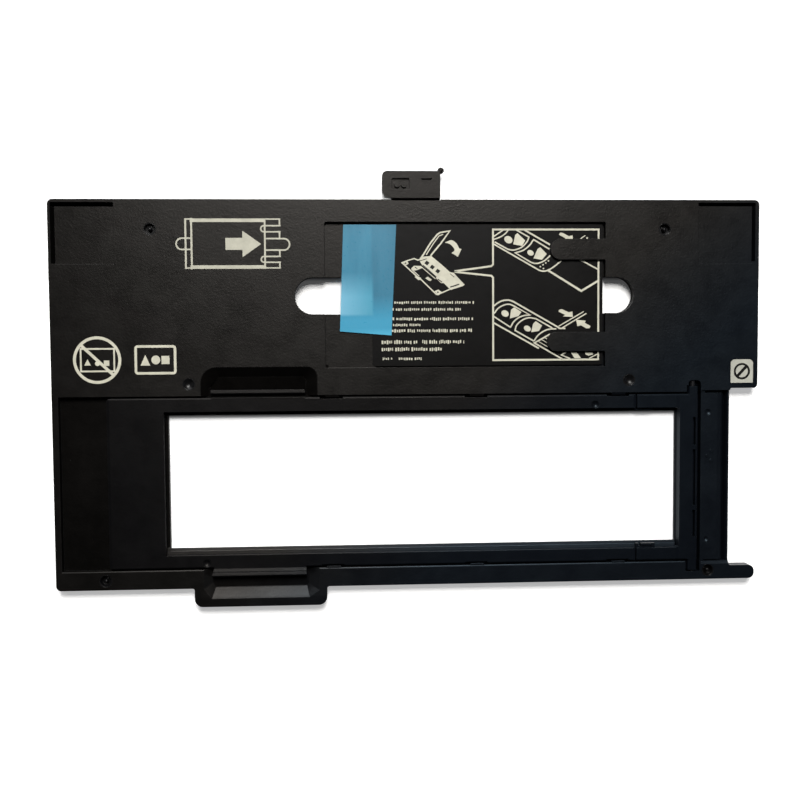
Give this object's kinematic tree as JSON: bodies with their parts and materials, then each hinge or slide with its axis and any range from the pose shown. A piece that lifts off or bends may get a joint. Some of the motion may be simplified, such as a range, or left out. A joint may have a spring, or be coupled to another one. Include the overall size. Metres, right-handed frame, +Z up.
{
  "type": "film carrier",
  "caption": "Flat film carrier for a flat-bed scanner: moulded base with a film gate, hinged frame cover, film-flattening sheet in a recess, height feet and finger loop.",
  "frame": {"origin": "middle of the whole object's box, on the plane its feet stand on", "axes": "+X along the film channel towards the hinge end, +Y across towards the locating tab, +Z up out of the printed face"},
  "size_m": [0.3082, 0.1902, 0.0069],
  "materials": {
    "base_moulding": "fine moulded texture, satin black",
    "cover_moulding": "satin black",
    "hinge_moulding": "satin black",
    "pin_plastic": "satin black",
    "foot_plastic": "satin black",
    "sheet_plastic": "smooth satin black with cream print",
    "tape_film": "translucent blue film",
    "label_film": "pale grey printed film"
  },
  "bodies": {
    "base": {"base_frame": "base_moulding", "ring_label": "label_film", "transit_tape": "tape_film", "foot_far_left": "foot_plastic", "foot_far_right": "foot_plastic", "foot_middle_left": "foot_plastic", "foot_middle_right": "foot_plastic", "foot_near_left": "foot_plastic", "foot_near_right": "foot_plastic"},
    "cover": {"film_cover_frame": "cover_moulding", "cover_hinge_frame": "hinge_moulding", "hinge_pin_far": "pin_plastic", "hinge_pin_near": "pin_plastic"},
    "sheet": {"flattening_sheet": "sheet_plastic"}
  },
  "joints": [
    {"name": "cover_hinge", "type": "hinge", "parent": "base", "child": "cover", "pos_m": [0.12535, -0.04072, 0.0044], "axis": [0, 1, 0], "range_deg": [0, 120]},
    {"name": "sheet_slide", "type": "slide", "parent": "base", "child": "sheet", "axis": [-1, 0, 0], "range_m": [0, 0.02]}
  ]
}
